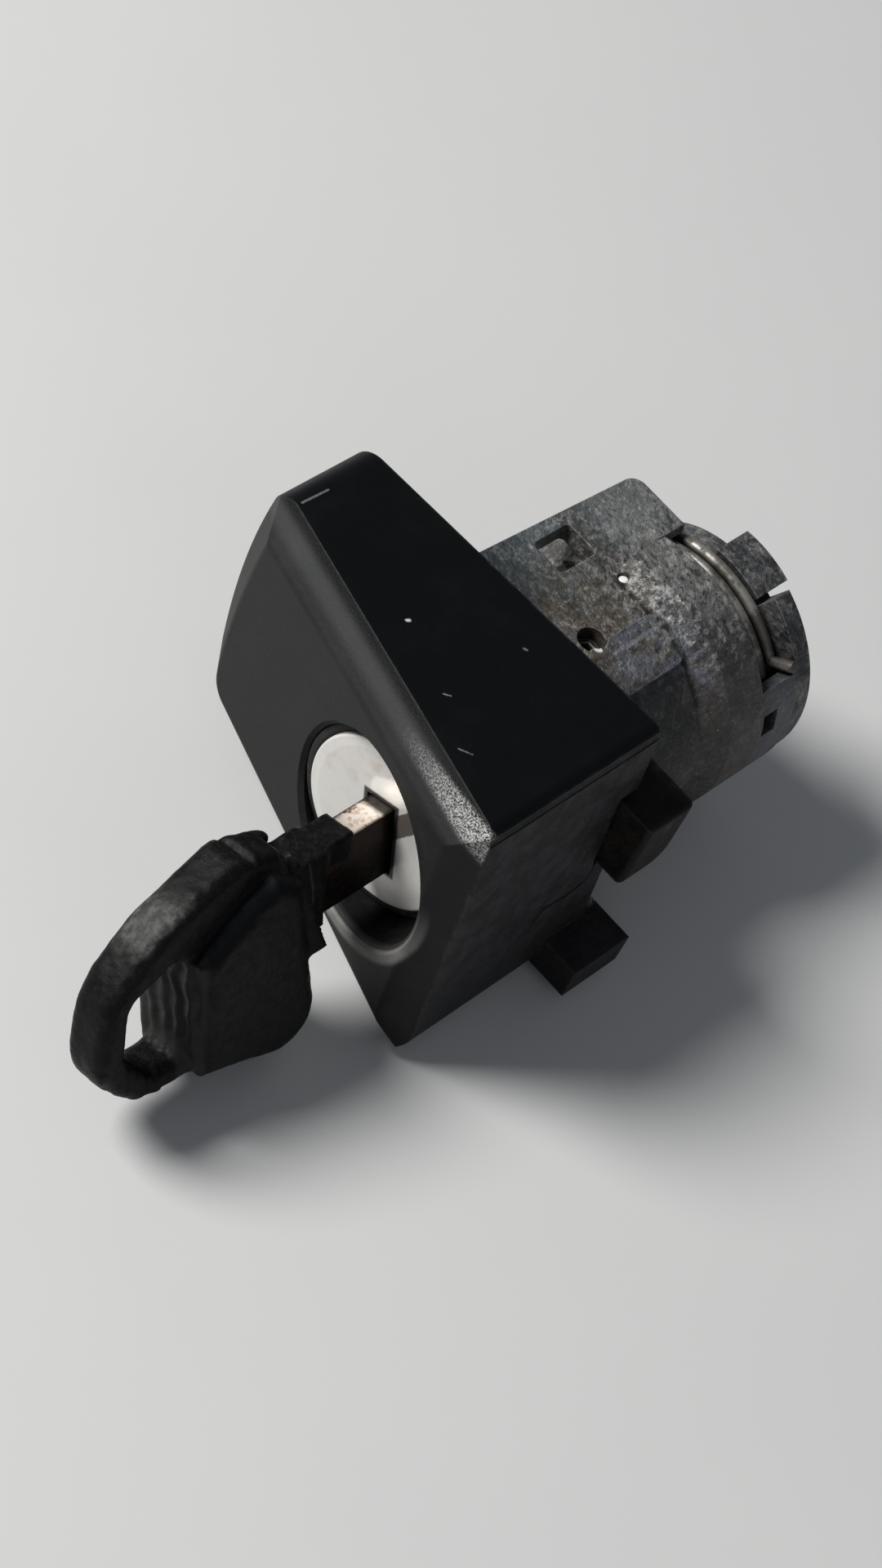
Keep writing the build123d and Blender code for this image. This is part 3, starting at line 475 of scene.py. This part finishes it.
def die_cast(name, light=1.0, stained=False):
    """Dull cast zinc. light makes it paler or darker, and stained adds the housing's regions."""

    def lit(*colour):
        return tuple(part * light for part in colour)

    zinc = Finish(name, lit(0.044, 0.047, 0.051))
    patches = zinc.use(clouds, Size=3.2, Detail=9.0, Low=0.38, High=0.64)
    blotches = zinc.use(clouds, Size=1.5, Detail=10.0, Low=0.455, High=0.57)
    speckle = zinc.use(clouds, Size=0.55, Detail=4.0, Low=0.47, High=0.62)
    pits = zinc.use(clouds, Size=0.42, Detail=4.0, Low=0.57, High=0.66)
    cracks = zinc.use(veins, Size=2.6, Width=0.014)
    rubs = zinc.use(veins, Size=1.7, Width=0.012)
    darker_in_crevices = zinc.use(occlusion_darkening, Reach=0.0022, Low=0.45, High=0.98)
    edge_wear = zinc.use(edges, Radius=0.0003, Breakup=0.7, Low=0.03, High=0.2)
    zinc.layer(patches, lit(0.11, 0.114, 0.118))
    zinc.layer(blotches, lit(0.185, 0.184, 0.180), 0.55)
    grainy = 1.0
    if stained:
        grainy, window_light_patch, hole_glint = housing_stains(zinc)
        darker_in_crevices = zinc.maths("SUBTRACT", darker_in_crevices, window_light_patch, clamp=True)
    speckle = zinc.times(speckle, zinc.more(0.3, blotches, 0.7), grainy)
    zinc.layer(speckle, lit(0.33, 0.33, 0.32), 0.55)
    zinc.layer(zinc.times(pits, grainy), (0.018, 0.017, 0.016), 0.6)
    zinc.layer(zinc.times(cracks, patches), (0.016, 0.015, 0.014), 0.6)
    zinc.layer(zinc.times(rubs, blotches, grainy), lit(0.36, 0.36, 0.35), 0.5)
    zinc.layer(darker_in_crevices, (0.016, 0.014, 0.013), 0.88)
    zinc.layer(edge_wear, (0.34, 0.335, 0.325), 0.5)
    metal = zinc.less(0.55, darker_in_crevices, 0.45)
    if stained:
        # The pale patch under the fin's window is a painted highlight.
        zinc.layer(window_light_patch, (0.34, 0.34, 0.33))
        zinc.layer(hole_glint, (0.88, 0.88, 0.87))
        metal = zinc.less(metal, window_light_patch, 0.20)
    deep = zinc.times(zinc.maths("SUBTRACT", 1.0, zinc.maths("MAXIMUM", pits, cracks)), grainy)
    zinc.bump(zinc.use(clouds, Size=1.2, Detail=5.0, Low=0.2, High=0.8), 0.6, 0.00028)
    zinc.bump(zinc.times(zinc.use(grain, Size=0.45, Fine=0.9), grainy), 0.5, 0.00009)
    zinc.bump(deep, 0.4, 0.00008)
    rough = zinc.more(zinc.more(0.48, patches, 0.12), darker_in_crevices, 0.2)
    zinc.surface(roughness=rough, metallic=metal, specular=0.3)
    return zinc


die_cast("zinc_housing", stained=True).paint("housing")
die_cast("zinc_driver", light=0.85).paint("driver")
die_cast("zinc_plug", light=1.1).paint("plug")


# Set screw
# The small socket screw in the hole behind the cap: blackened steel with a rubbed rim and some rust. It is
# threaded in from above and sits a little below the mouth of its hole.
screw_station = 5.4
screw_sides = 48
socket_reach = 0.62
# Each ring of the screw from the tip to the floor of its socket: its outline, its size and its height.
screw_rings = (
    ("round", 1.18, 9.4),
    ("round", 1.24, 9.55),
    ("round", 1.24, 10.45),
    ("round", 1.12, 10.60),
    ("round", 0.80, 10.60),
    ("hex", 1.0, 10.60),
    ("hex", 0.94, 10.52),
    ("hex", 0.92, 9.7),
)

screw_mesh = bmesh.new()
loops = []
for outline, size, height in screw_rings:
    loop = []
    for side_number in range(screw_sides):
        angle = math.tau * side_number / screw_sides
        reach = size
        if outline == "hex":
            reach = size * socket_reach / math.cos((angle % (math.pi / 3)) - math.pi / 6)
        corner = Vector((reach * math.cos(angle), screw_station + reach * math.sin(angle), height))
        loop.append(screw_mesh.verts.new(corner * MM))
    loops.append(loop)
for lower, upper in zip(loops, loops[1:]):
    for side_number in range(screw_sides):
        after = (side_number + 1) % screw_sides
        screw_mesh.faces.new((lower[side_number], lower[after], upper[after], upper[side_number]))
screw_mesh.faces.new(loops[0][::-1])
screw_mesh.faces.new(loops[-1])
bmesh.ops.recalc_face_normals(screw_mesh, faces=screw_mesh.faces)
screw_data = bpy.data.meshes.new("set_screw")
screw_mesh.to_mesh(screw_data)
screw_mesh.free()
screw = bpy.data.objects.new("set_screw", screw_data)
bpy.context.collection.objects.link(screw)
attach(screw, "lock_body")

screw_steel = Finish("screw_steel_dark", (0.020, 0.020, 0.021))
rubbed = screw_steel.use(edges, Radius=0.0003, Breakup=0.9, Low=0.0, High=0.06)
rust = screw_steel.use(clouds, Size=0.4, Detail=6.0, Low=0.45, High=0.65)
screw_steel.layer(rust, (0.055, 0.036, 0.024))
screw_steel.layer(rubbed, (0.30, 0.29, 0.27), 0.5)
screw_steel.bump(rust, 0.3, 0.00004)
screw_steel.surface(roughness=screw_steel.more(0.35, rust, 0.3), metallic=0.4)
screw_steel.dress(screw)


# Face disc and shutter flap
# The bright face of the lock and the flap behind its key slot, of pressed stainless sheet. The disc is
# crimped round the plug's flange, with fine wiping scratches and a rubbed rim. Beside the slot it has a
# painted dark brown shadow of the blade, a painted highlight above the slot and painted shade round the
# slot's opening.
key_lean = math.radians(18.0)
key_side = Vector((math.cos(key_lean), 0.0, math.sin(key_lean)))
key_up = Vector((-math.sin(key_lean), 0.0, math.cos(key_lean)))
disc_highlight_stroke = ((-1.2, -16.0, 3.6), (1.2, -16.0, 5.6))
blade_shadow_stroke = ((0.6, -16.0, -0.4), (4.4, -16.0, 6.6))

disc = Finish("stainless_disc", (0.72, 0.705, 0.68))
wipes = disc.use(scratches, Turn=(0.0, 0.6, 0.0), Along=5.0, Across=0.07, Low=0.52, High=0.66)
blots = disc.use(clouds, Size=1.5, Detail=8.0, Low=0.45, High=0.75)
darker_in_crevices = disc.use(occlusion_darkening, Reach=0.0012, Low=0.5, High=1.0)
smudge = disc.times(disc.ramp(disc.along((-0.5, 0.0, 0.86)), 1.0, 7.0), disc.more(0.25, blots, 0.75))
rim = disc.band(disc.from_axis(), (7.3, 7.6), (8.4, 8.0))
painted_disc_highlight = disc.use(marks, Start=disc_highlight_stroke[0], End=disc_highlight_stroke[1], Radius=1.3, Soft=0.4)
painted_blade_shadow = disc.use(marks, Start=blade_shadow_stroke[0], End=blade_shadow_stroke[1], Radius=1.0, Soft=0.18)
across_slot = disc.ramp(disc.maths("ABSOLUTE", disc.along(key_side)), 2.2, 1.95)
slot_shade = disc.times(across_slot, disc.band(disc.along(key_up), (-5.3, -5.0), (3.25, 2.95)))
disc.layer(blots, (0.56, 0.53, 0.49), 0.20)
disc.layer(smudge, (0.50, 0.44, 0.385), 0.7)
disc.layer(rim, (0.86, 0.85, 0.82), 0.35)
# The near-white stroke above the slot is a painted highlight.
disc.layer(painted_disc_highlight, (0.95, 0.94, 0.90), 0.8)
# The dark brown stroke beside the slot is a painted shadow of the blade.
disc.layer(painted_blade_shadow, (0.085, 0.068, 0.054), 0.92)
disc.layer(slot_shade, (0.010, 0.007, 0.005), 0.95)
disc.layer(darker_in_crevices, (0.12, 0.09, 0.06), 0.35)
disc.bump(wipes, 0.25, 0.00002)
disc.surface(roughness=disc.more(0.34, blots, 0.16), metallic=0.28)
disc.paint("face_disc", "shutter_flap")


# Return spring, clip and shutter pin
# A torsion spring of round steel wire in three close turns round the driver's hub, with one leg that hooks
# through the collar's gap. Clip and pin are of the same oiled steel, bright where it rubs and brown between.
spring_wire = 1.1
spring_radius = 10.95
spring_pitch = 1.5
spring_turns = 3
spring_front = 18.5
spring_leg_angle = 37.0
spring_leg_reach = 13.9
spring_bend = 1.1
spring_steps = 150
coil_start = 90.0
coil_turn = spring_turns * 360.0 + coil_start - spring_leg_angle
# The coil ends a few degrees before the leg, which leaves room for the bend.
coil_end = coil_turn - 4.0

coil_points = []
for step in range(spring_steps + 1):
    turned = coil_end * step / spring_steps
    angle = math.radians(coil_start - turned)
    station = spring_front + turned / 360.0 * spring_pitch
    coil_points.append(Vector((spring_radius * math.cos(angle), station, spring_radius * math.sin(angle))))
leg_station = spring_front + coil_turn / 360.0 * spring_pitch
leg_angle = math.radians(spring_leg_angle)
bend_reaches = [spring_radius + beyond for beyond in (0.12, 0.5, spring_bend)]
for reach in (*bend_reaches, spring_leg_reach - 0.6, spring_leg_reach):
    coil_points.append(Vector((reach * math.cos(leg_angle), leg_station, reach * math.sin(leg_angle))))
wire = bpy.data.curves.new("coil_wire", "CURVE")
wire.dimensions = "3D"
wire.bevel_depth = spring_wire / 2 * MM
wire.bevel_resolution = 5
wire.use_fill_caps = True
route = wire.splines.new("NURBS")
route.points.add(len(coil_points) - 1)
for point, spot in zip(route.points, coil_points):
    point.co = (*(spot * MM), 1.0)
route.order_u = 3
route.use_endpoint_u = True
route.resolution_u = 3
drawn_wire = bpy.data.objects.new("coil_wire", wire)
coil = bpy.data.objects.new("return_coil", bpy.data.meshes.new_from_object(drawn_wire))
bpy.data.objects.remove(drawn_wire)
bpy.context.collection.objects.link(coil)
for face in coil.data.polygons:
    face.use_smooth = True
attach(coil, "lock_body")
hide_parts("return_spring")

steel = Finish("spring_steel_oiled", (0.24, 0.235, 0.215))
bloom = steel.use(clouds, Size=0.8, Detail=7.0, Low=0.46, High=0.70)
grime = steel.use(clouds, Size=2.4, Detail=8.0, Low=0.40, High=0.56)
darker_in_crevices = steel.use(occlusion_darkening, Reach=0.0015, Low=0.45, High=0.98)
steel.layer(bloom, (0.070, 0.058, 0.046))
steel.layer(grime, (0.046, 0.041, 0.036), 0.85)
steel.layer(darker_in_crevices, (0.020, 0.017, 0.015), 0.85)
steel.bump(bloom, 0.3, 0.00005)
steel.surface(roughness=steel.more(0.46, bloom, 0.3), metallic=steel.less(0.6, bloom, 0.4))
steel.dress(coil)
steel.paint("return_spring", "retaining_clip", "shutter_pin")


# Lock pin
# The small hardened steel pin that is pressed into the barrel from above. Its end is freshly rubbed and
# bright, with a few brown spots.
pin = Finish("pin_steel_bright", (0.90, 0.88, 0.83))
bloom = pin.use(clouds, Size=0.4, Detail=5.0, Low=0.56, High=0.74)
pin.layer(bloom, (0.40, 0.35, 0.28))
pin.bump(bloom, 0.3, 0.00004)
pin.surface(roughness=pin.more(0.32, bloom, 0.3), metallic=0.25)
pin.paint("lock_pin")


# Wafers
# The eight locking plates in the plug's slots: stamped brass, tarnished brown in cloudy patches. Each has a
# window for the blade and a nose that rides in the blade's groove.
wafer_count = 8
brass = Finish("brass_wafer", (0.72, 0.52, 0.25))
tarnish = brass.use(clouds, Size=1.2, Low=0.4, High=0.7)
brass.layer(tarnish, (0.36, 0.25, 0.13))
brass.surface(roughness=brass.more(0.3, tarnish, 0.25), metallic=1.0)
for number in range(1, wafer_count + 1):
    brass.paint(f"wafer_{number}")


# Dust seal
# The ring between the lock's face and the cap's hole: matt black moulded rubber with pale dust on it. It lies
# on the end of the housing's nose.
seal = Finish("seal_rubber_dusty", (0.008, 0.008, 0.008))
dust = seal.use(clouds, Size=0.8, Detail=8.0, Low=0.5, High=0.75)
seal.layer(dust, (0.07, 0.065, 0.055), 0.5)
seal.bump(dust, 0.4, 0.00006)
seal.surface(roughness=0.8)
seal.paint("dust_seal")


# Key blade
# The flat nickel-plated blade with a wavy groove in each side, and a tang that holds the head. The plate is
# worn through to copper-brown along its edges, and the part outside the lock is dark on its flanks. Right
# next to the disc it is painted near black, a painted shade of the slot's gap.
blade = Finish("blade_nickel_worn", (0.76, 0.68, 0.62))
flank = blade.ramp(blade.maths("ABSOLUTE", blade.facing(key_side)), 0.5, 0.8)
worn = blade.use(edges, Radius=0.0009, Breakup=0.6, Low=0.0, High=0.05)
tarnish = blade.use(clouds, Size=0.55, Detail=8.0, Low=0.47, High=0.62)
lines = blade.use(scratches, Turn=quarter_turn, Along=6.0, Across=0.08, Low=0.5, High=0.62)
border = blade.more(blade.maths("ABSOLUTE", blade.along(key_side)), tarnish, 0.35)
border = blade.times(blade.ramp(border, 1.1, 1.4), 0.9)
station = blade.along((0.0, 1.0, 0.0))
exposed = blade.ramp(station, -14.6, -15.6)
blade_shade_at_slot = blade.times(exposed, blade.ramp(station, -17.4, -16.7))
low_down = blade.ramp(blade.along(key_up), 0.6, -1.6)
outer_flank_dark = blade.times(flank, exposed)
blade.layer(tarnish, (0.44, 0.27, 0.17), 0.7)
blade.layer(blade.maths("MAXIMUM", border, worn), (0.055, 0.026, 0.013))
blade.layer(flank, blade.mix(tarnish, (0.26, 0.235, 0.21), (0.13, 0.105, 0.085)))
# Outside the lock the flanks are darker, and darker still low down.
blade.layer(outer_flank_dark, blade.mix(tarnish, (0.022, 0.012, 0.009), (0.040, 0.022, 0.016)))
blade.layer(blade.times(outer_flank_dark, low_down), (0.0025, 0.0018, 0.0015), 0.9)
# Right next to the disc the blade is painted near black: painted shade of the slot's gap.
blade.layer(blade_shade_at_slot, (0.004, 0.0028, 0.002), 0.95)
plated = blade.maths("SUBTRACT", 1.0, blade.maths("MAXIMUM", outer_flank_dark, blade_shade_at_slot))
blade.bump(lines, 0.3, 0.00003)
blade.surface(roughness=blade.more(0.34, tarnish, 0.22), metallic=blade.times(plated, 0.7), specular=0.12)
blade.paint("key_blade")


# Key head
# The grip, moulded in soft black plastic over the blade's tang: a thick body, a neck and a thinner loop. Its
# edges are worn round, the neck has torn lumps, and the loop has a grey patch on top that is partly scuffs
# and partly a painted sheen. Beside the loop the body is painted dark as painted shade in the recess.
head_root = 16.0
head_weld = 0.001
head_voxel = 0.24
dent_depth = 0.10
fine_dent_depth = 0.035
wall_ridge_depth = 0.13
side_ridge_depth = 0.09
# The end wall lies between these distances out from the face disc, and its ridges end at this height.
end_wall_near = 23.2
end_wall_far = 25.8
wall_ridge_top = 3.0
side_ridge_start = 27.0
side_ridge_top = -6.5
# Each lump as the distances out from the face disc, above and beside the blade, and its radius.
torn_lumps = (
    (12.7, 4.2, -2.4, 1.05),
    (13.6, 4.6, 0.2, 0.85),
    (11.2, 3.3, 0.4, 0.55),
    (12.2, 3.8, 1.7, 0.75),
    (10.1, 3.2, -1.5, 0.45),
    (12.9, 1.2, 3.0, 0.70),
    (11.4, -1.4, 2.6, 0.60),
)
lump_stretch = (1.25, 0.85, 0.75, 1.0)
neck_scratches = (
    ((10.7, 3.1, 2.2), (10.1, 0.2, 2.2)),
    ((10.1, 0.2, 2.2), (10.0, -1.6, 2.2)),
    ((5.2, 3.3, -1.2), (5.1, 3.2, 1.9)),
)


def head_point(out, up, side):
    """A point of the key head in millimetres: out along the blade, above it and beside it."""
    return key_side * side + key_up * up + Vector((0.0, -head_root - out, 0.0))


solid = bmesh.new()
solid.from_mesh(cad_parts["key_head"].data)
bmesh.ops.remove_doubles(solid, verts=solid.verts, dist=head_weld * MM)
for out, up, side, radius in torn_lumps:
    turned = Matrix.Rotation(out * 2.1, 4, "X") @ Matrix.Rotation(up, 4, "Y")
    lump = Matrix.Translation(head_point(out, up, side) * MM) @ turned @ Matrix.Diagonal(lump_stretch)
    bmesh.ops.create_icosphere(solid, subdivisions=2, radius=radius * MM, matrix=lump)
lumpy = bpy.data.meshes.new("lumpy_head")
solid.to_mesh(lumpy)
solid.free()
rough_head = bpy.data.objects.new("rough_head", lumpy)
bpy.context.collection.objects.link(rough_head)
remesh = rough_head.modifiers.new("remesh", "REMESH")
remesh.mode = "VOXEL"
remesh.voxel_size = head_voxel * MM
soften = rough_head.modifiers.new("soften", "SMOOTH")
soften.factor = 0.5
soften.iterations = 5
remeshed = rough_head.evaluated_get(bpy.context.evaluated_depsgraph_get())
finished = bpy.data.meshes.new_from_object(remeshed)
bpy.data.objects.remove(rough_head)

# Slow dents all over, ridges on the body's end wall towards the loop, and fine ones low on the body's side.
moved = []
for vertex in finished.vertices:
    spot = vertex.co / MM
    facing = vertex.normal
    out = -spot.y - head_root
    up = spot.dot(key_up)
    side = spot.dot(key_side)
    push = dent_depth * noise_maths.fractal(spot * 0.30, 1.0, 2.0, 3)
    push += fine_dent_depth * noise_maths.noise(spot * 1.5)
    if end_wall_near < out < end_wall_far and -facing.y > 0.35 and up < wall_ridge_top:
        push += wall_ridge_depth * math.sin(4.0 * side + 0.5 * up + 2.6 * noise_maths.noise(spot * 0.4))
    if out > side_ridge_start and up < side_ridge_top and facing.dot(key_side) > 0.3:
        push += side_ridge_depth * math.sin(2.6 * out + 0.5 * up)
    moved.extend((spot + facing * push) * MM)
finished.vertices.foreach_set("co", moved)
for face in finished.polygons:
    face.use_smooth = True
head = bpy.data.objects.new("worn_head", finished)
bpy.context.collection.objects.link(head)
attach(head, "key")
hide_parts("key_head")

grip = Finish("head_plastic_worn", (0.0030, 0.0031, 0.0034))
scuff = grip.use(clouds, Size=0.8, Detail=9.0, Low=0.44, High=0.66)
edge_wear = grip.use(edges, Radius=0.0006, Breakup=0.7, Low=0.01, High=0.14)
lines = grip.use(scratches, Turn=(0.3, 0.2, 1.2), Along=5.0, Across=0.09, Low=0.64, High=0.7)
above_blade = grip.along(key_up)
out_blade = grip.along((0.0, -1.0, 0.0), -head_root)
upward = grip.facing(key_up)
top_face = grip.times(grip.ramp(upward, 0.55, 0.85), grip.ramp(above_blade, -1.0, 2.0))
on_loop = grip.band(out_blade, (23.0, 26.0), (30.5, 28.2))
loop_scuff_and_sheen = grip.times(top_face, on_loop, grip.more(0.25, scuff, 0.5))
recess_shade_beside_loop = grip.times(grip.ramp(grip.along(key_side), 2.2, 2.7), grip.ramp(upward, 0.1, 0.5))
at_wall = grip.times(grip.band(out_blade, (23.4, 24.0), (25.6, 25.0)), grip.ramp(above_blade, 3.0, 0.0))
grip.layer(scuff, (0.06, 0.058, 0.055), 0.07)
grip.layer(at_wall, (0.030, 0.030, 0.029), 0.5)
# The loop's top faces are painted grey: partly scuffs, partly a painted sheen.
grip.layer(loop_scuff_and_sheen, (0.115, 0.115, 0.110))
grip.layer(edge_wear, (0.12, 0.12, 0.115), 0.16)
grip.layer(lines, (0.2, 0.2, 0.195), 0.08)
# Beside the loop the body is painted dark bluish: painted shade in the recess.
grip.layer(recess_shade_beside_loop, (0.0016, 0.0022, 0.0034), 0.9)
for start, end in neck_scratches:
    stroke = grip.use(marks, Start=head_point(*start), End=head_point(*end), Radius=0.06, Soft=0.3)
    grip.layer(stroke, (0.15, 0.09, 0.06), 0.5)
grip.bump(grip.use(clouds, Size=1.1, Detail=5.0, Low=0.2, High=0.8), 0.4, 0.0001)
grip.bump(lines, 0.2, 0.00002)
grip.surface(roughness=grip.more(grip.more(0.44, scuff, 0.2), recess_shade_beside_loop, 0.2), specular=0.10)
grip.paint("key_head")
grip.dress(head)


# Floor
# A plain pale floor just under the lowest point of the object, with faint slow clouds in its grey.
floor_gap = 0.0004
floor_size = 3.0
bpy.ops.mesh.primitive_plane_add(size=floor_size, location=(0, 0, cad_box[0][2] - floor_gap))
floor = bpy.context.object
floor.name = "floor"
pale = Finish("floor_pale", (0.555, 0.56, 0.555))
pale.layer(pale.use(clouds, Size=40.0, Detail=6.0, Low=0.3, High=0.7), (0.52, 0.525, 0.525), 0.3)
pale.surface(roughness=0.55)
pale.dress(floor)


# Lights
# One soft lamp from high on one side, a weak wide one from the other side, and a dim bluish sky.
def soft_light(name, place, aim, size, power, tint):
    lamp = bpy.data.lights.new(name, "AREA")
    lamp.shape = "DISK"
    lamp.size = size
    lamp.energy = power
    lamp.color = tint
    made = bpy.data.objects.new(name, lamp)
    bpy.context.collection.objects.link(made)
    made.location = place
    made.rotation_euler = (Vector(aim) - Vector(place)).to_track_quat("-Z", "Y").to_euler()


middle = (0.0, -0.008, 0.0)
soft_light("key_light", (-0.50, -0.36, 0.62), middle, 0.35, 11.0, (1.0, 0.985, 0.96))
soft_light("fill_light", (0.75, -0.35, 0.45), middle, 0.9, 0.9, (0.93, 0.96, 1.0))
world = bpy.data.worlds.new("studio")
world.use_nodes = True
world.node_tree.nodes["Background"].inputs["Color"].default_value = (0.80, 0.85, 0.95, 1.0)
world.node_tree.nodes["Background"].inputs["Strength"].default_value = 0.17
bpy.context.scene.world = world


# Camera
# It stands where the photograph's camera stood, and its lens follows from the focal length in pixels.
camera_place = Vector((0.0793, -0.1845, 0.2365))
camera_look = Vector((-0.25996, 0.57696, -0.77430)).normalized()
camera_up = Vector((-0.70654, 0.43292, 0.55980))
focal_pixels = 4300
frame_pixels = 1920
sensor_height = 36.0

camera_right = camera_look.cross(camera_up).normalized()
camera_up = camera_right.cross(camera_look)
camera = bpy.data.cameras.new("camera")
camera.sensor_fit = "VERTICAL"
camera.sensor_height = sensor_height
camera.lens = sensor_height * focal_pixels / frame_pixels
camera.clip_start = 0.01
camera_object = bpy.data.objects.new("camera", camera)
bpy.context.collection.objects.link(camera_object)
turn = Matrix((camera_right, camera_up, -camera_look)).transposed().to_4x4()
camera_object.matrix_world = Matrix.Translation(camera_place) @ turn
bpy.context.scene.camera = camera_object
bpy.context.scene.view_settings.view_transform = "Standard"
